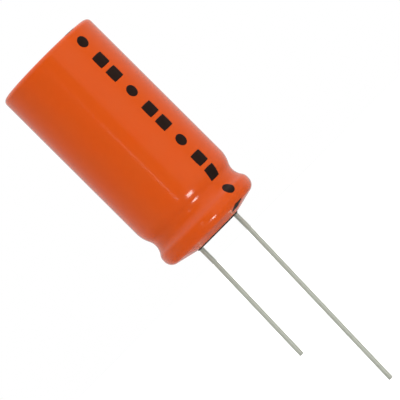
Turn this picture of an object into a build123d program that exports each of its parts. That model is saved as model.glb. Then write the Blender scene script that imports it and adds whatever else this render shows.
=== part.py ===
from math import acos, asin, cos, degrees, radians, sin, sqrt, tan
import os

from build123d import *

os.makedirs("parts", exist_ok=True)

# Radial supercapacitor, millimetres. The origin is the middle of the seating plane, between
# the leads. +Z runs up the can to its closed end and +X points at the positive lead.

# can
can_radius = 9.0  # outside of the drawn aluminium can
can_top = 37.58  # outer face of the closed end above the seating plane
can_wall = 0.4
can_end_wall = 0.5
can_corner = 0.6  # outer corner of the closed end
can_inner_corner = 0.3

# bead groove that grips the bung: a hollow between a wide upper and a tight lower shoulder
groove_depth = 0.82
groove_hollow_radius = 2.72
upper_shoulder_radius = 4.71
lower_shoulder_radius = 1.15

# rolled rim: a round corner, a shallow cone, and a curl whose tail bites into the bung
rim_corner_height = 2.52  # centre of the corner above the seating plane
rim_corner_radius = 1.3
rim_land = 0.4  # straight wall between the corner and the groove
rim_cone_angle = 13.4
rim_cone_run = 0.55
curl_radius = 0.6
curl_tail = 0.5

# pressure vent: a cross scored into the closed end
vent_length = 11.0
vent_width = 0.35
vent_depth = 0.15

# shrink sleeve
sleeve_wall = 0.2
sleeve_gap = 0.02  # shrink fit, sleeve to can
top_lip_width = 1.7  # how far the sleeve folds in over the closed end

# leads
lead_pitch = 7.5
wire_radius = 0.4
positive_lead_length = 35.0  # wire beyond the seating plane
negative_lead_length = 22.65
lead_stub = 2.0  # straight stretch at the board
lead_bend_radius = 40.0
lead_lean = 1.8  # degrees, both leads lean towards -X
wire_end_chamfer = 0.08
weld_height = 0.9  # butt weld of wire and tab, inside the bung
weld_flare = 0.15

# rubber bung
bung_fit = 0.02
bung_over_groove = 0.3  # rubber above the groove
boss_margin = 0.15  # rubber outside each lead hole on the raised face
boss_chamfer = 0.12
lip_clearance = 0.1  # bung boss to sleeve edge

# tabs
shank_radius = 1.0
shank_above_bung = 0.2
neck_height = 0.7
neck_end_radius = 0.35
paddle_root = 0.1  # paddle sunk into the shank
tab_thickness = 0.2
tab_width = 1.8
tab_short_of_top = 6.0  # winding above the end of each tab

# wound element: four strips rolled together, separated by the layer gap
electrode_thickness = 0.24
separator_thickness = 0.05
layer_gap = 0.03
turns_under_tab = 3
winding_above_bung = 1.2
winding_below_end = 0.9
separator_overhang = 1.0  # separators stand past the electrodes at both ends
winding_can_gap = 0.3
tape_thickness = 0.06
tape_margin = 2.0

# derived rim and groove values
cone = radians(rim_cone_angle)
upper_arcs = groove_hollow_radius + upper_shoulder_radius
lower_arcs = groove_hollow_radius + lower_shoulder_radius
upper_turn = acos(1 - groove_depth / upper_arcs)
lower_turn = acos(1 - groove_depth / lower_arcs)
groove_foot = rim_corner_height + rim_land
groove_height = groove_foot + lower_arcs * sin(lower_turn)
groove_top = groove_height + upper_arcs * sin(upper_turn)
rim_corner_axis = can_radius - rim_corner_radius
curl_axis = rim_corner_axis + (rim_corner_radius - curl_radius) * sin(cone) - rim_cone_run * cos(cone)
curl_height = (
    rim_corner_height - (rim_corner_radius - curl_radius) * cos(cone) - rim_cone_run * sin(cone)
)
tail_top = curl_height + curl_tail

# derived bung, sleeve and lead values
can_inner_radius = can_radius - can_wall
bung_top = groove_top + bung_over_groove
lead_radius = lead_pitch / 2
boss_radius = lead_radius + wire_radius + bung_fit + boss_margin
bottom_lip_radius = boss_radius + lip_clearance
top_lip_radius = can_radius - top_lip_width

# derived winding values: strips cross the X axis once every half turn
strip_pitch = 2 * (electrode_thickness + separator_thickness) + 4 * layer_gap
half_pitch = strip_pitch / 2
tab_step = tab_thickness + layer_gap
core_radius = (
    lead_radius - tab_thickness / 2 - layer_gap - electrode_thickness - turns_under_tab * strip_pitch
)
strip_stack = strip_pitch - layer_gap + tab_step
wound_room = can_inner_radius - winding_can_gap - tape_thickness - layer_gap
half_turns = int((wound_room - core_radius - strip_stack) / half_pitch)
positive_tab_crossing = 2 * turns_under_tab
negative_tab_crossing = positive_tab_crossing - 1
separator_bottom = bung_top + winding_above_bung
separator_top = can_top - can_end_wall - winding_below_end


def cone_height(offset, radius):
    """Height of the rim's cone at a radius, on the face that stands off the can by an offset."""
    corner = rim_corner_radius + offset
    run = rim_corner_axis + corner * sin(cone) - radius
    return rim_corner_height - corner * cos(cone) - run * tan(cone)


def side_outline(offset, top):
    """Side, groove, land and rim corner of the face that stands off the can by an offset."""
    face_radius = can_radius + offset
    hollow_axis = can_radius + groove_hollow_radius - groove_depth
    hollow = groove_hollow_radius - offset
    upper, lower = degrees(upper_turn), degrees(lower_turn)
    Line((face_radius, top), (face_radius, groove_top))
    CenterArc(
        (can_radius - upper_shoulder_radius, groove_top),
        upper_shoulder_radius + offset,
        -upper,
        upper,
    )
    CenterArc((hollow_axis, groove_height), hollow, 180 - upper, upper + lower)
    CenterArc(
        (can_radius - lower_shoulder_radius, groove_foot), lower_shoulder_radius + offset, 0, lower
    )
    Line((face_radius, groove_foot), (face_radius, rim_corner_height))
    corner_turn = 90 - rim_cone_angle
    corner = rim_corner_radius + offset
    CenterArc((rim_corner_axis, rim_corner_height), corner, -corner_turn, corner_turn)


def corner_foot(offset):
    """Where the rim corner runs into the cone."""
    corner = rim_corner_radius + offset
    return (rim_corner_axis + corner * sin(cone), rim_corner_height - corner * cos(cone))


def curl_foot(radius):
    """Where the cone runs into a curl arc of this radius."""
    return (curl_axis + radius * sin(cone), curl_height - radius * cos(cone))


# can: one drawn piece, revolved, with the vent scored into its end
curl_inner = curl_radius - can_wall
curl_turn = 90 + rim_cone_angle
with BuildPart() as can:
    with BuildSketch(Plane.XZ):
        with BuildLine():
            Line((0, can_top), (can_radius - can_corner, can_top))
            CenterArc((can_radius - can_corner, can_top - can_corner), can_corner, 0, 90)
            side_outline(0, can_top - can_corner)
            Line(corner_foot(0), curl_foot(curl_radius))
            CenterArc((curl_axis, curl_height), curl_radius, 180, curl_turn)
            Polyline(
                (curl_axis - curl_radius, curl_height),
                (curl_axis - curl_radius, tail_top),
                (curl_axis - curl_inner, tail_top),
                (curl_axis - curl_inner, curl_height),
            )
            CenterArc((curl_axis, curl_height), curl_inner, 180, curl_turn)
            Line(curl_foot(curl_inner), corner_foot(-can_wall))
            inner_top = can_top - can_end_wall
            side_outline(-can_wall, inner_top - can_inner_corner)
            CenterArc(
                (can_inner_radius - can_inner_corner, inner_top - can_inner_corner),
                can_inner_corner,
                0,
                90,
            )
            Line((can_inner_radius - can_inner_corner, inner_top), (0, inner_top))
            Line((0, inner_top), (0, can_top))
        make_face()
    revolve(axis=Axis.Z)
    with BuildSketch(Plane.XY.offset(can_top)):
        SlotOverall(vent_length, vent_width, rotation=45)
        SlotOverall(vent_length, vent_width, rotation=-45)
    extrude(amount=-vent_depth, mode=Mode.SUBTRACT)
can.part.label = "can"
export_step(can.part, "parts/can.step")


# sleeve: follows the can at a shrink fit and folds in over both ends
def sleeve_face(offset):
    """One face of the sleeve, from its top lip to its bottom lip."""
    corner_axis = can_radius - can_corner
    Line((top_lip_radius, can_top + offset), (corner_axis, can_top + offset))
    CenterArc((corner_axis, can_top - can_corner), can_corner + offset, 0, 90)
    side_outline(offset, can_top - can_corner)
    Line(corner_foot(offset), (bottom_lip_radius, cone_height(offset, bottom_lip_radius)))


sleeve_outside = sleeve_gap + sleeve_wall
with BuildPart() as sleeve:
    with BuildSketch(Plane.XZ):
        with BuildLine():
            sleeve_face(sleeve_gap)
            sleeve_face(sleeve_outside)
            Line((top_lip_radius, can_top + sleeve_gap), (top_lip_radius, can_top + sleeve_outside))
            Line(
                (bottom_lip_radius, cone_height(sleeve_gap, bottom_lip_radius)),
                (bottom_lip_radius, cone_height(sleeve_outside, bottom_lip_radius)),
            )
        make_face()
    revolve(axis=Axis.Z)
sleeve.part.label = "sleeve"
export_step(sleeve.part, "parts/sleeve.step")

# bung: fills the mouth of the can round the curl, and is flush with the cone outside it
curl_face = curl_radius + bung_fit
curl_pocket = curl_inner - bung_fit
bung_offset = -can_wall - bung_fit
seam_run = sqrt(curl_face**2 - curl_radius**2)
seam = (
    curl_foot(curl_radius)[0] - seam_run * cos(cone),
    curl_foot(curl_radius)[1] - seam_run * sin(cone),
)
seam_turn = 90 + rim_cone_angle - degrees(asin(seam_run / curl_face))
with BuildPart() as rubber_bung:
    with BuildSketch(Plane.XZ):
        with BuildLine():
            Polyline(
                (0, bung_top),
                (0, 0),
                (boss_radius - boss_chamfer, 0),
                (boss_radius, boss_chamfer),
                (boss_radius, cone_height(0, boss_radius)),
                seam,
            )
            CenterArc((curl_axis, curl_height), curl_face, 180, seam_turn)
            Polyline(
                (curl_axis - curl_face, curl_height),
                (curl_axis - curl_face, tail_top + bung_fit),
                (curl_axis - curl_pocket, tail_top + bung_fit),
                (curl_axis - curl_pocket, curl_height),
            )
            CenterArc((curl_axis, curl_height), curl_pocket, 180, curl_turn)
            Line(curl_foot(curl_pocket), corner_foot(bung_offset))
            side_outline(bung_offset, bung_top)
            Line((can_radius + bung_offset, bung_top), (0, bung_top))
        make_face()
    revolve(axis=Axis.Z)
    with Locations((lead_radius, 0, 0), (-lead_radius, 0, 0)):
        Cone(
            wire_radius + bung_fit,
            wire_radius + weld_flare + bung_fit,
            weld_height,
            align=(Align.CENTER, Align.CENTER, Align.MIN),
            mode=Mode.SUBTRACT,
        )
    with BuildSketch(Plane.XY.offset(weld_height)):
        with Locations((lead_radius, 0), (-lead_radius, 0)):
            Circle(shank_radius + bung_fit)
    extrude(amount=bung_top - weld_height, mode=Mode.SUBTRACT)
rubber_bung.part.label = "rubber_bung"
export_step(rubber_bung.part, "parts/rubber_bung.step")


# leads: tinned wire, straight at the board, then one long gentle bend and a straight run
def lead_wire(side, length):
    """One lead at x = side * lead_radius, with this length of wire beyond the seating plane."""
    start = Vector(side * lead_radius, 0, 0)
    lean = radians(lead_lean)
    run_length = length - lead_stub - lead_bend_radius * lean
    down, run = Vector(0, 0, -1), Vector(-sin(lean), 0, -cos(lean))
    bend_start = start + down * lead_stub
    bend_end = bend_start + Vector(
        -lead_bend_radius * (1 - cos(lean)), 0, -lead_bend_radius * sin(lean)
    )
    with BuildPart() as wire:
        with BuildLine():
            Line(start, bend_start)
            TangentArc(bend_start, bend_end, tangent=down)
            Line(bend_end, bend_end + run * run_length)
        with BuildSketch(Plane(start, x_dir=(1, 0, 0), z_dir=(0, 0, -1))):
            Circle(wire_radius)
        sweep()
        chamfer(wire.edges().sort_by(Axis.Z)[0], wire_end_chamfer)
        with Locations(start):
            Cone(
                wire_radius,
                wire_radius + weld_flare,
                weld_height,
                align=(Align.CENTER, Align.CENTER, Align.MIN),
            )
    return wire.part


positive_lead_wire = lead_wire(1, positive_lead_length)
positive_lead_wire.label = "positive_lead_wire"
export_step(positive_lead_wire, "parts/positive_lead_wire.step")

negative_lead_wire = lead_wire(-1, negative_lead_length)
negative_lead_wire.label = "negative_lead_wire"
export_step(negative_lead_wire, "parts/negative_lead_wire.step")


# tabs: a round shank through the bung, tapered above it and flattened into a paddle that lies
# between two layers of the winding
def lead_tab(side):
    """The tab of the lead at x = side * lead_radius."""
    shank_top = bung_top + shank_above_bung
    paddle_foot = shank_top - paddle_root
    with BuildPart() as tab:
        with BuildSketch(Plane.XY.offset(weld_height)):
            with Locations((side * lead_radius, 0)):
                Circle(shank_radius)
        extrude(amount=shank_top - weld_height)
        with Locations((side * lead_radius, 0, shank_top)):
            Cone(
                shank_radius,
                neck_end_radius,
                neck_height,
                align=(Align.CENTER, Align.CENTER, Align.MIN),
            )
        with BuildSketch(Plane.XY.offset(paddle_foot)):
            Circle(lead_radius + tab_thickness / 2)
            Circle(lead_radius - tab_thickness / 2, mode=Mode.SUBTRACT)
            with Locations((side * lead_radius, 0)):
                Rectangle(lead_radius, tab_width, mode=Mode.INTERSECT)
        extrude(amount=separator_top - tab_short_of_top - paddle_foot)
    return tab.part


positive_tab = lead_tab(1)
positive_tab.label = "positive_tab"
export_step(positive_tab, "parts/positive_tab.step")

negative_tab = lead_tab(-1)
negative_tab.label = "negative_tab"
export_step(negative_tab, "parts/negative_tab.step")


# wound element: half circles whose ends cross the X axis, each half turn half a pitch further
# out, with one more step where a tab lies between two layers
def crossing_radius(layer, crossing, first_stepped):
    """Radius at which a layer face crosses the X axis for the nth time, from +X."""
    step = tab_step if crossing >= first_stepped else 0
    return core_radius + half_pitch * crossing + layer + step


def spiral_face(layer, first_stepped):
    """One face of a strip, as half circles from the first crossing to the last."""
    for crossing in range(half_turns):
        near = crossing_radius(layer, crossing, first_stepped)
        far = crossing_radius(layer, crossing + 1, first_stepped)
        side = 1 if crossing % 2 == 0 else -1
        start_angle = 0 if side == 1 else 180
        CenterArc((side * (near - far) / 2, 0), (near + far) / 2, start_angle, 180)


def wound_strip(layer, thickness, first_stepped, bottom, top):
    """One strip of the roll: its inner face lies a layer's distance out from the first face."""
    with BuildPart() as strip:
        with BuildSketch(Plane.XY.offset(bottom)):
            with BuildLine():
                spiral_face(layer, first_stepped)
                spiral_face(layer + thickness, first_stepped)
                for crossing in (0, half_turns):
                    side = 1 if crossing % 2 == 0 else -1
                    inner = side * crossing_radius(layer, crossing, first_stepped)
                    outer = side * crossing_radius(layer + thickness, crossing, first_stepped)
                    Line((inner, 0), (outer, 0))
            make_face()
        extrude(amount=top - bottom)
    return strip.part


electrode_bottom = separator_bottom + separator_overhang
electrode_top = separator_top - separator_overhang
inner_separator_layer = electrode_thickness + layer_gap
negative_layer = inner_separator_layer + separator_thickness + layer_gap
outer_separator_layer = negative_layer + electrode_thickness + layer_gap

positive_electrode = wound_strip(
    0, electrode_thickness, positive_tab_crossing + 1, electrode_bottom, electrode_top
)
positive_electrode.label = "positive_electrode"
export_step(positive_electrode, "parts/positive_electrode.step")

inner_separator = wound_strip(
    inner_separator_layer,
    separator_thickness,
    positive_tab_crossing,
    separator_bottom,
    separator_top,
)
inner_separator.label = "inner_separator"
export_step(inner_separator, "parts/inner_separator.step")

negative_electrode = wound_strip(
    negative_layer, electrode_thickness, positive_tab_crossing, electrode_bottom, electrode_top
)
negative_electrode.label = "negative_electrode"
export_step(negative_electrode, "parts/negative_electrode.step")

outer_separator = wound_strip(
    outer_separator_layer,
    separator_thickness,
    negative_tab_crossing,
    separator_bottom,
    separator_top,
)
outer_separator.label = "outer_separator"
export_step(outer_separator, "parts/outer_separator.step")

# tape: closes the roll, centred on its last half turn
outer_face = outer_separator_layer + separator_thickness
last_near = crossing_radius(outer_face, half_turns - 1, negative_tab_crossing)
last_far = crossing_radius(outer_face, half_turns, negative_tab_crossing)
last_side = 1 if (half_turns - 1) % 2 == 0 else -1
tape_inner_radius = (last_near + last_far) / 2 + layer_gap
with BuildPart() as winding_tape:
    with BuildSketch(Plane.XY.offset(separator_bottom + tape_margin)):
        with Locations((last_side * (last_near - last_far) / 2, 0)):
            Circle(tape_inner_radius + tape_thickness)
            Circle(tape_inner_radius, mode=Mode.SUBTRACT)
    extrude(amount=separator_top - separator_bottom - 2 * tape_margin)
winding_tape.part.label = "winding_tape"
export_step(winding_tape.part, "parts/winding_tape.step")
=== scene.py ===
import math

import bpy
import numpy as np
from mathutils import Matrix, Vector


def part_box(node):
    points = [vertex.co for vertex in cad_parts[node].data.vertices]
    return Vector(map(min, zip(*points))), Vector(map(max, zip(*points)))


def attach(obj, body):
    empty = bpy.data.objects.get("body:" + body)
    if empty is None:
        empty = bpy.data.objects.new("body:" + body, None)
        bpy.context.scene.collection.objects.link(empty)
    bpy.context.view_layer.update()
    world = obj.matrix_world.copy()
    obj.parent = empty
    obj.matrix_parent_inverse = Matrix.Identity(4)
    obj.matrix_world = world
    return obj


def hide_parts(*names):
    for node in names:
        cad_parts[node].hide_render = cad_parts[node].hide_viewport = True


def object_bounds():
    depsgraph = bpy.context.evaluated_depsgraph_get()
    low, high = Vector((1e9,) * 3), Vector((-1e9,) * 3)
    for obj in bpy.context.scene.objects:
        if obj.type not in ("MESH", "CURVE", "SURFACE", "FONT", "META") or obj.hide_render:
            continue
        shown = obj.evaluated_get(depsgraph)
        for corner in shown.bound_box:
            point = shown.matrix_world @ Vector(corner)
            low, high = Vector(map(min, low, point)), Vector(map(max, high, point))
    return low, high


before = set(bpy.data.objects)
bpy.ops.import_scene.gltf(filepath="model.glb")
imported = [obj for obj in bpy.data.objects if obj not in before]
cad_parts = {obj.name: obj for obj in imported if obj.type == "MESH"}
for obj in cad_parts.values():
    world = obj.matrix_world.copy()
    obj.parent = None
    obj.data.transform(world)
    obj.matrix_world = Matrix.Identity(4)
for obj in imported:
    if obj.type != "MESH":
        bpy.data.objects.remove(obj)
cadLow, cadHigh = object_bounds()
mm = 0.001
print("frame loaded with", len(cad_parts), "nodes")


def meshFromGrid(name, points, wrapRows, wrapColumns):
    # a grid of points becomes quads between neighbouring rows and columns, joined round where it wraps
    rows, columns = points.shape[:2]
    index = np.arange(rows * columns).reshape(rows, columns)
    if wrapRows:
        index = np.vstack([index, index[:1]])
    if wrapColumns:
        index = np.hstack([index, index[:, :1]])
    quads = np.stack(
        [index[:-1, :-1], index[1:, :-1], index[1:, 1:], index[:-1, 1:]], axis=-1
    ).reshape(-1, 4)
    mesh = bpy.data.meshes.new(name)
    mesh.from_pydata(points.reshape(-1, 3), [], quads)
    mesh.polygons.foreach_set("use_smooth", np.ones(len(quads), dtype=bool))
    mesh.update()
    piece = bpy.data.objects.new(name, mesh)
    bpy.context.scene.collection.objects.link(piece)
    return piece


# sleeve outline, shared by the film and its print

sleeveShape = {
    "radius": 9.22,
    "topCorner": 0.82,
    "topLip": 7.3,
    "bottomLip": 4.42,
    "wall": 0.2,
    "printRoom": 0.014,
    "grooveDepth": 0.82,
    "hollow": 2.5,
    "upperShoulder": 4.93,
    "lowerShoulder": 1.37,
    "land": 0.4,
    "rimCorner": 1.52,
    "coneAngle": 13.4,
}
outlineSteps = {
    "flat": 10,
    "corner": 12,
    "wall": 60,
    "upperArc": 18,
    "hollowArc": 40,
    "lowerArc": 14,
    "land": 4,
    "rimArc": 22,
    "cone": 20,
}
sleeveLow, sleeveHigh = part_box("sleeve")


def sleeveOutline(inset):
    # top lip, corner, wall, groove arcs, land, rim corner and cone, moved inwards by the inset
    s, n = sleeveShape, outlineSteps
    radius, top = s["radius"] - inset, sleeveHigh.z / mm - s["printRoom"] - inset
    corner = s["topCorner"] - inset
    upper, lower = s["upperShoulder"] - inset, s["lowerShoulder"] - inset
    hollow, rim = s["hollow"] + inset, s["rimCorner"] - inset
    upperTurn = math.acos(1 - s["grooveDepth"] / (upper + hollow))
    lowerTurn = math.acos(1 - s["grooveDepth"] / (lower + hollow))
    cone = math.radians(s["coneAngle"])
    coneEnd = sleeveLow.z / mm + inset / math.cos(cone)
    coneStart = radius - rim + rim * math.sin(cone)
    cornerHeight = coneEnd + (coneStart - s["bottomLip"]) * math.tan(cone) + rim * math.cos(cone)
    foot = cornerHeight + s["land"]
    middle = foot + (lower + hollow) * math.sin(lowerTurn)
    grooveTop = middle + (upper + hollow) * math.sin(upperTurn)
    flat = np.linspace(s["topLip"], radius - corner, n["flat"])
    turn = np.linspace(math.pi / 2, 0, n["corner"])[1:]
    wall = np.linspace(top - corner, grooveTop, n["wall"])[1:]
    upperArc = np.linspace(0, -upperTurn, n["upperArc"])[1:]
    hollowArc = np.linspace(-upperTurn, lowerTurn, n["hollowArc"])[1:]
    lowerArc = np.linspace(lowerTurn, 0, n["lowerArc"])[1:]
    landRun = np.linspace(foot, cornerHeight, n["land"])[1:]
    rimArc = np.linspace(0, -(math.pi / 2 - cone), n["rimArc"])[1:]
    coneRun = np.linspace(coneStart, s["bottomLip"], n["cone"])[1:]
    r = np.concatenate([
        flat,
        radius - corner + corner * np.cos(turn),
        np.full(wall.shape, radius),
        radius - upper + upper * np.cos(upperArc),
        radius - s["grooveDepth"] + hollow - hollow * np.cos(hollowArc),
        radius - lower + lower * np.cos(lowerArc),
        np.full(landRun.shape, radius),
        radius - rim + rim * np.cos(rimArc),
        coneRun,
    ])
    z = np.concatenate([
        np.full(flat.shape, top),
        top - corner + corner * np.sin(turn),
        wall,
        grooveTop + upper * np.sin(upperArc),
        middle - hollow * np.sin(hollowArc),
        foot + lower * np.sin(lowerArc),
        landRun,
        cornerHeight + rim * np.sin(rimArc),
        coneEnd + (coneRun - s["bottomLip"]) * math.tan(cone),
    ])
    return r, z


def outlineNormals(r, z):
    # the outline's direction turned a quarter, so that it points away from the can
    dr, dz = np.gradient(r), np.gradient(z)
    size = np.hypot(dr, dz)
    return -dz / size, dr / size


# film

filmLook = {
    "around": 256,
    "ripple": 0.048,
    "rippleCount": (9, 14, 23, 31),
    "lowEnd": (1.2, 1.3, 1.0),
    "groove": (3.6, 0.7, 0.35),
    "topEnd": (7.6, 0.7, 0.6),
    "topFrom": 37,
    "innerThinning": 3,
    "edgeWidth": 0.2,
    "seed": 4,
}


def hump(place, look):
    # a bell curve about a middle, with a width and a height
    middle, width, height = look
    return height * np.exp(-(((place - middle) / width) ** 2))


def makeFilm():
    # the outer outline, pressed in by a few sine ripples where the film shrank most, then the
    # inner outline back again, all turned about the vertical axis
    outerR, outerZ = sleeveOutline(0.0)
    normalR, normalZ = outlineNormals(outerR, outerZ)
    innerR, innerZ = sleeveOutline(sleeveShape["wall"])
    thin = -filmLook["innerThinning"]
    innerR, innerZ = innerR[::thin], innerZ[::thin]
    phi = np.linspace(0, 2 * math.pi, filmLook["around"], endpoint=False)
    draw = np.random.default_rng(filmLook["seed"])
    waves = np.zeros_like(phi)
    for count in filmLook["rippleCount"]:
        waves = waves + np.sin(count * phi + draw.uniform(0, 2 * math.pi))
    waves = (waves / len(filmLook["rippleCount"]) + 1) / 2
    lowEnd = hump(outerZ, filmLook["lowEnd"])
    groove = hump(outerZ, filmLook["groove"])
    topEnd = hump(outerR, filmLook["topEnd"]) * (outerZ > filmLook["topFrom"])
    press = filmLook["ripple"] * np.outer(lowEnd + groove + topEnd, waves)
    r = outerR[:, None] - press * normalR[:, None]
    z = outerZ[:, None] - press * normalZ[:, None]
    r = np.vstack([r, np.repeat(innerR[:, None], phi.size, 1)])
    z = np.vstack([z, np.repeat(innerZ[:, None], phi.size, 1)])
    points = np.stack([r * np.sin(phi), -r * np.cos(phi), z], axis=-1) * mm
    piece = meshFromGrid("sleeveFilm", points, True, True)
    distance = np.minimum(
        np.hypot(outerR - sleeveShape["bottomLip"], outerZ - outerZ[-1]),
        np.hypot(outerR - sleeveShape["topLip"], outerZ - outerZ[0]),
    )
    edge = np.clip(1 - distance / filmLook["edgeWidth"], 0, 1)
    edge = np.concatenate([edge, np.zeros(innerR.size)])
    cutEdge = piece.data.attributes.new("cutEdge", "FLOAT", "POINT")
    cutEdge.data.foreach_set("value", np.repeat(edge, phi.size).astype(np.float32))
    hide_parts("sleeve")
    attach(piece, "root")
    return piece


film = makeFilm()
print("film made")


# print: a dot and two blocks, repeated along the film

printLook = {
    "azimuth": 40.5,
    "height": 2.3,
    "firstTop": 36.5,
    "period": 10.6,
    "dotLength": 2.0,
    "dotShrink": 0.85,
    "dotStart": 0.3,
    "blockRoundness": 0.16,
    "topMargin": 0.12,
    "bottomMargin": 2.1,
    "shortest": 0.5,
    "repeats": range(-1, 5),
    "blockStart": 4.1,
    "blockLength": 2.2,
    "blockGap": 0.75,
    "lift": 0.012,
    "thickness": 0.02,
    "steps": 22,
}


def makePrint():
    # each mark is a square sheet squeezed towards a disc, laid along the outline by its length
    # and round the film by its width
    v = printLook
    outerR, outerZ = sleeveOutline(0.0)
    normalR, normalZ = outlineNormals(outerR, outerZ)
    length = np.concatenate([[0], np.cumsum(np.hypot(np.diff(outerR), np.diff(outerZ)))])
    wallStart = np.argmax(outerR >= sleeveShape["radius"] - 1e-6)
    first = length[wallStart] + outerZ[wallStart] - v["firstTop"]
    step = np.linspace(-1, 1, v["steps"])
    across, along = np.meshgrid(step, step)
    marks = []
    for repeat in v["repeats"]:
        start = first + repeat * v["period"]
        block = start + v["blockStart"]
        dot = start + v["dotStart"]
        marks.append((dot, dot + v["dotLength"], 1.0, v["dotShrink"]))
        marks.append((block, block + v["blockLength"], v["blockRoundness"], 1.0))
        second = block + v["blockLength"] + v["blockGap"]
        marks.append((second, second + v["blockLength"], v["blockRoundness"], 1.0))
    pieces = []
    for low, high, roundness, tall in marks:
        low, high = max(low, v["topMargin"]), min(high, length[-1] - v["bottomMargin"])
        if high - low < v["shortest"]:
            continue
        place = (low + high) / 2 + (high - low) / 2 * along * np.sqrt(1 - roundness * across**2 / 2)
        side = tall * v["height"] / 2 * across * np.sqrt(1 - roundness * along**2 / 2)
        r = np.interp(place, length, outerR) + v["lift"] * np.interp(place, length, normalR)
        z = np.interp(place, length, outerZ) + v["lift"] * np.interp(place, length, normalZ)
        phi = math.radians(v["azimuth"]) + side / sleeveShape["radius"]
        points = np.stack([r * np.sin(phi), -r * np.cos(phi), z], axis=-1) * mm
        pieces.append(points)
    index = np.arange(v["steps"] ** 2).reshape(v["steps"], v["steps"])
    corners = [index[:-1, :-1], index[1:, :-1], index[1:, 1:], index[:-1, 1:]]
    quad = np.stack(corners, axis=-1).reshape(-1, 4)
    shift = np.arange(len(pieces))[:, None, None] * v["steps"] ** 2
    quads = (quad[None] + shift).reshape(-1, 4)
    mesh = bpy.data.meshes.new("printedMarks")
    mesh.from_pydata(np.concatenate([p.reshape(-1, 3) for p in pieces]), [], quads)
    mesh.polygons.foreach_set("use_smooth", np.ones(len(quads), dtype=bool))
    mesh.update()
    piece = bpy.data.objects.new("printedMarks", mesh)
    bpy.context.scene.collection.objects.link(piece)
    wall = piece.modifiers.new("inkDepth", "SOLIDIFY")
    wall.thickness = v["thickness"] * mm
    wall.offset = -1
    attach(piece, "root")
    return piece


marks = makePrint()
print("print made")


# materials

def makeMaterial(name, look):
    # two colours mixed by noise, roughness spread by the same noise, and a bump from finer noise
    material = bpy.data.materials.new(name)
    material.use_nodes = True
    tree = material.node_tree
    shader = tree.nodes["Principled BSDF"]
    shader.inputs["Metallic"].default_value = look.get("metallic", 0.0)
    shader.inputs["IOR"].default_value = look.get("ior", 1.5)
    shader.inputs["Coat Weight"].default_value = look.get("coat", 0.0)
    shader.inputs["Coat Roughness"].default_value = 0.1
    place = tree.nodes.new("ShaderNodeTexCoord")
    mapping = tree.nodes.new("ShaderNodeMapping")
    mapping.inputs["Scale"].default_value = look.get("stretch", (1, 1, 1))
    tree.links.new(place.outputs["Object"], mapping.inputs["Vector"])
    noise = tree.nodes.new("ShaderNodeTexNoise")
    noise.inputs["Scale"].default_value = look["noiseScale"]
    noise.inputs["Detail"].default_value = 5
    tree.links.new(mapping.outputs["Vector"], noise.inputs["Vector"])
    mix = tree.nodes.new("ShaderNodeMix")
    mix.data_type = "RGBA"
    mix.inputs["A"].default_value = (*look["color"], 1)
    mix.inputs["B"].default_value = (*look["colorTwo"], 1)
    tree.links.new(noise.outputs["Fac"], mix.inputs["Factor"])
    tree.links.new(mix.outputs["Result"], shader.inputs["Base Color"])
    spread = tree.nodes.new("ShaderNodeMapRange")
    spread.inputs["To Min"].default_value = look["roughness"][0]
    spread.inputs["To Max"].default_value = look["roughness"][1]
    tree.links.new(noise.outputs["Fac"], spread.inputs["Value"])
    tree.links.new(spread.outputs["Result"], shader.inputs["Roughness"])
    grain = tree.nodes.new("ShaderNodeTexNoise")
    grain.inputs["Scale"].default_value = look["bumpScale"]
    grain.inputs["Detail"].default_value = 3
    tree.links.new(mapping.outputs["Vector"], grain.inputs["Vector"])
    bump = tree.nodes.new("ShaderNodeBump")
    bump.inputs["Strength"].default_value = 0.3
    bump.inputs["Distance"].default_value = look["bumpDepth"] * mm
    tree.links.new(grain.outputs["Fac"], bump.inputs["Height"])
    tree.links.new(bump.outputs["Normal"], shader.inputs["Normal"])
    return material, mix


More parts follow.
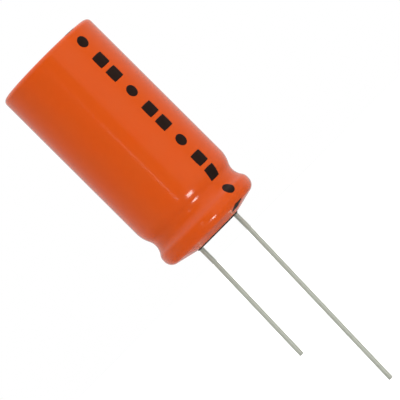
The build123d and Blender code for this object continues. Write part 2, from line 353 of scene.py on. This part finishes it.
finishes = {
    "filmOrange": {
        "color": (0.625, 0.073, 0.005), "colorTwo": (0.595, 0.080, 0.007), "noiseScale": 260,
        "roughness": (0.11, 0.17), "bumpScale": 700, "bumpDepth": 0.004,
    },
    "printInk": {
        "color": (0.012, 0.004, 0.002), "colorTwo": (0.020, 0.007, 0.003), "noiseScale": 900,
        "ior": 1.35, "roughness": (0.40, 0.52), "bumpScale": 1500, "bumpDepth": 0.002,
    },
    "tinnedWire": {
        "color": (0.66, 0.68, 0.59), "colorTwo": (0.57, 0.59, 0.51), "noiseScale": 900,
        "stretch": (1, 1, 0.12), "roughness": (0.30, 0.42), "metallic": 0.45,
        "bumpScale": 2500, "bumpDepth": 0.004,
    },
    "drawnAluminium": {
        "color": (0.74, 0.745, 0.75), "colorTwo": (0.62, 0.625, 0.635), "noiseScale": 900,
        "stretch": (1, 0.06, 1), "roughness": (0.26, 0.42), "metallic": 1.0,
        "bumpScale": 2200, "bumpDepth": 0.004,
    },
    "darkRubber": {
        "color": (0.016, 0.015, 0.015), "colorTwo": (0.034, 0.032, 0.030), "noiseScale": 1400,
        "roughness": (0.55, 0.75), "bumpScale": 2600, "bumpDepth": 0.012,
    },
    "pressedAluminium": {
        "color": (0.68, 0.685, 0.69), "colorTwo": (0.55, 0.555, 0.56), "noiseScale": 1200,
        "stretch": (1, 1, 0.1), "roughness": (0.34, 0.5), "metallic": 1.0,
        "bumpScale": 3000, "bumpDepth": 0.006,
    },
    "carbonCoat": {
        "color": (0.014, 0.014, 0.015), "colorTwo": (0.030, 0.030, 0.032), "noiseScale": 3000,
        "roughness": (0.78, 0.94), "bumpScale": 6000, "bumpDepth": 0.008,
    },
    "separatorPaper": {
        "color": (0.80, 0.77, 0.69), "colorTwo": (0.70, 0.66, 0.57), "noiseScale": 1800,
        "stretch": (1, 1, 0.4), "roughness": (0.75, 0.9), "bumpScale": 4200, "bumpDepth": 0.010,
    },
    "amberTape": {
        "color": (0.62, 0.30, 0.05), "colorTwo": (0.54, 0.24, 0.035), "noiseScale": 500,
        "roughness": (0.24, 0.36), "coat": 0.3, "bumpScale": 1500, "bumpDepth": 0.003,
    },
}
materials = {name: makeMaterial(name, look) for name, look in finishes.items()}

# the film is paler along its cut edges
orange, orangeMix = materials["filmOrange"]
edgeTree = orange.node_tree
edgeRead = edgeTree.nodes.new("ShaderNodeAttribute")
edgeRead.attribute_name = "cutEdge"
edgeMix = edgeTree.nodes.new("ShaderNodeMix")
edgeMix.data_type = "RGBA"
edgeMix.inputs["B"].default_value = (0.78, 0.36, 0.24, 1)
edgeTree.links.new(edgeRead.outputs["Fac"], edgeMix.inputs["Factor"])
edgeTree.links.new(orangeMix.outputs["Result"], edgeMix.inputs["A"])
edgeTree.links.new(edgeMix.outputs["Result"], edgeTree.nodes["Principled BSDF"].inputs["Base Color"])

film.data.materials.append(orange)
marks.data.materials.append(materials["printInk"][0])

nodeFinish = {
    "can": "drawnAluminium",
    "rubber_bung": "darkRubber",
    "positive_lead_wire": "tinnedWire",
    "negative_lead_wire": "tinnedWire",
    "positive_tab": "pressedAluminium",
    "negative_tab": "pressedAluminium",
    "positive_electrode": "carbonCoat",
    "negative_electrode": "carbonCoat",
    "inner_separator": "separatorPaper",
    "outer_separator": "separatorPaper",
    "winding_tape": "amberTape",
}
for node, finish in nodeFinish.items():
    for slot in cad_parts[node].material_slots:
        slot.material = materials[finish][0]
print("materials made")


# floor, light and camera

floorLook = {"size": 4.0, "color": (0.86, 0.86, 0.86), "lift": 0.45}


def makeFloor():
    # a flat square at the lowest lead tip
    half = floorLook["size"] / 2
    step = np.linspace(-half, half, 2)
    x, y = np.meshgrid(step, step, indexing="ij")
    points = np.stack([x, y, np.full_like(x, cadLow.z)], axis=-1)
    floor = meshFromGrid("floor", points, False, False)
    material = bpy.data.materials.new("paleFloor")
    material.use_nodes = True
    tree = material.node_tree
    shader = tree.nodes["Principled BSDF"]
    shader.inputs["Base Color"].default_value = (*floorLook["color"], 1)
    shader.inputs["Roughness"].default_value = 0.9
    shader.inputs["Emission Color"].default_value = (1, 1, 1, 1)
    path = tree.nodes.new("ShaderNodeLightPath")
    lift = tree.nodes.new("ShaderNodeMath")
    lift.operation = "MULTIPLY"
    lift.inputs[1].default_value = floorLook["lift"]
    tree.links.new(path.outputs["Is Camera Ray"], lift.inputs[0])
    tree.links.new(lift.outputs["Value"], shader.inputs["Emission Strength"])
    # clear from beneath, so that the underside can be looked at
    facing = tree.nodes.new("ShaderNodeNewGeometry")
    clear = tree.nodes.new("ShaderNodeBsdfTransparent")
    either = tree.nodes.new("ShaderNodeMixShader")
    tree.links.new(facing.outputs["Backfacing"], either.inputs["Fac"])
    tree.links.new(shader.outputs["BSDF"], either.inputs[1])
    tree.links.new(clear.outputs["BSDF"], either.inputs[2])
    tree.links.new(either.outputs["Shader"], tree.nodes["Material Output"].inputs["Surface"])
    floor.data.materials.append(material)
    floor.visible_shadow = False
    floor.visible_glossy = False
    return floor


makeFloor()

worldLook = {
    "front": 0.02,
    "side": 0.25,
    "back": 0.6,
    "frontPlace": 0.12,
    "sidePlace": 0.5,
    "backPlace": 0.9,
    "below": 0.3,
    "belowRange": (-0.45, -0.1),
    "above": 0.5,
    "aboveRange": (0.3, 0.75),
}


def makeWorld():
    # white to the camera; elsewhere dark in front, brighter at the sides, the back and overhead
    world = bpy.data.worlds.new("softRoom")
    bpy.context.scene.world = world
    world.use_nodes = True
    tree = world.node_tree
    background = tree.nodes["Background"]
    direction = tree.nodes.new("ShaderNodeTexCoord")
    split = tree.nodes.new("ShaderNodeSeparateXYZ")
    tree.links.new(direction.outputs["Generated"], split.inputs["Vector"])
    reach = tree.nodes.new("ShaderNodeMapRange")
    reach.inputs["From Min"].default_value = -1
    tree.links.new(split.outputs["Y"], reach.inputs["Value"])
    ramp = tree.nodes.new("ShaderNodeValToRGB")
    stops = ramp.color_ramp.elements
    stops[0].position, stops[0].color = worldLook["frontPlace"], (*[worldLook["front"]] * 3, 1)
    stops[1].position, stops[1].color = worldLook["backPlace"], (*[worldLook["back"]] * 3, 1)
    middle = stops.new(worldLook["sidePlace"])
    middle.color = (*[worldLook["side"]] * 3, 1)
    tree.links.new(reach.outputs["Result"], ramp.inputs["Fac"])
    below = tree.nodes.new("ShaderNodeMapRange")
    below.inputs["From Min"].default_value = worldLook["belowRange"][0]
    below.inputs["From Max"].default_value = worldLook["belowRange"][1]
    below.inputs["To Min"].default_value = worldLook["below"]
    above = tree.nodes.new("ShaderNodeMapRange")
    above.inputs["From Min"].default_value = worldLook["aboveRange"][0]
    above.inputs["From Max"].default_value = worldLook["aboveRange"][1]
    above.inputs["To Max"].default_value = worldLook["above"]
    tree.links.new(split.outputs["Z"], below.inputs["Value"])
    tree.links.new(split.outputs["Z"], above.inputs["Value"])
    dim = tree.nodes.new("ShaderNodeVectorMath")
    dim.operation = "SCALE"
    tree.links.new(ramp.outputs["Color"], dim.inputs[0])
    tree.links.new(below.outputs["Result"], dim.inputs["Scale"])
    lift = tree.nodes.new("ShaderNodeVectorMath")
    lift.operation = "ADD"
    tree.links.new(dim.outputs["Vector"], lift.inputs[0])
    tree.links.new(above.outputs["Result"], lift.inputs[1])
    path = tree.nodes.new("ShaderNodeLightPath")
    mix = tree.nodes.new("ShaderNodeMix")
    mix.data_type = "RGBA"
    mix.inputs["B"].default_value = (1, 1, 1, 1)
    tree.links.new(path.outputs["Is Camera Ray"], mix.inputs["Factor"])
    tree.links.new(lift.outputs["Vector"], mix.inputs["A"])
    tree.links.new(mix.outputs["Result"], background.inputs["Color"])


makeWorld()


def towards(azimuth, elevation):
    # unit direction: azimuth turns from the front towards the positive lead, elevation rises
    a, e = math.radians(azimuth), math.radians(elevation)
    return Vector((math.sin(a) * math.cos(e), -math.cos(a) * math.cos(e), math.sin(e)))


# soft suns light the colour; small panels give the gloss its shapes
suns = {
    "keySun": {"from": (34, 22), "strength": 1.5, "angle": 50},
    "fillSun": {"from": (-42, 8), "strength": 0.45, "angle": 70},
    "backSun": {"from": (175, 25), "strength": 1.6, "angle": 70},
    "topSun": {"from": (20, 80), "strength": 1.0, "angle": 70},
}
panels = {
    "lowPanel": {"from": (14, -35), "distance": 0.5, "size": (0.10, 0.10), "power": 0.5},
    "stripPanel": {
        "from": (-11.6, -9.3), "distance": 0.6,
        "size": (0.008, 0.245), "power": 0.035,
    },
    "sidePanel": {"from": (38, 0), "distance": 0.7, "size": (0.65, 0.7), "power": 0.26},
}
centre = Vector((0, 0, (sleeveLow.z + sleeveHigh.z) / 2))


def placeLamp(name, data, spot, aim):
    lamp = bpy.data.objects.new(name, data)
    lamp.location = spot
    lamp.rotation_euler = (aim - spot).to_track_quat("-Z", "Y").to_euler()
    bpy.context.scene.collection.objects.link(lamp)
    return lamp


for name, look in suns.items():
    data = bpy.data.lights.new(name, "SUN")
    data.energy = look["strength"]
    data.angle = math.radians(look["angle"])
    lamp = placeLamp(name, data, centre + towards(*look["from"]), centre)
    lamp.visible_glossy = False
for name, look in panels.items():
    data = bpy.data.lights.new(name, "AREA")
    data.shape = "RECTANGLE"
    data.size, data.size_y = look["size"]
    data.energy = look["power"]
    lamp = placeLamp(name, data, centre + towards(*look["from"]) * look["distance"], centre)
    lamp.visible_diffuse = False

cameraLook = {"distance": 0.5267, "aim": (0.001458, 0.0, 0.005453), "lens": 306.2, "roll": 44.84}


def makeCamera():
    # looks along +Y, rolled so that the leads point to the lower right
    data = bpy.data.cameras.new("camera")
    data.lens = cameraLook["lens"]
    data.sensor_width = 36
    data.clip_start, data.clip_end = 0.01, 20
    camera = bpy.data.objects.new("camera", data)
    roll = math.radians(cameraLook["roll"])
    right = Vector((math.sin(roll), 0, -math.cos(roll)))
    up = Vector((math.cos(roll), 0, math.sin(roll)))
    back = right.cross(up)
    turn = Matrix((right, up, back)).transposed().to_4x4()
    spot = Vector(cameraLook["aim"]) + back * cameraLook["distance"]
    camera.matrix_world = Matrix.Translation(spot) @ turn
    bpy.context.scene.collection.objects.link(camera)
    bpy.context.scene.camera = camera


makeCamera()
bpy.context.scene.view_settings.view_transform = "Standard"
print("light and camera placed")

bpy.context.view_layer.update()
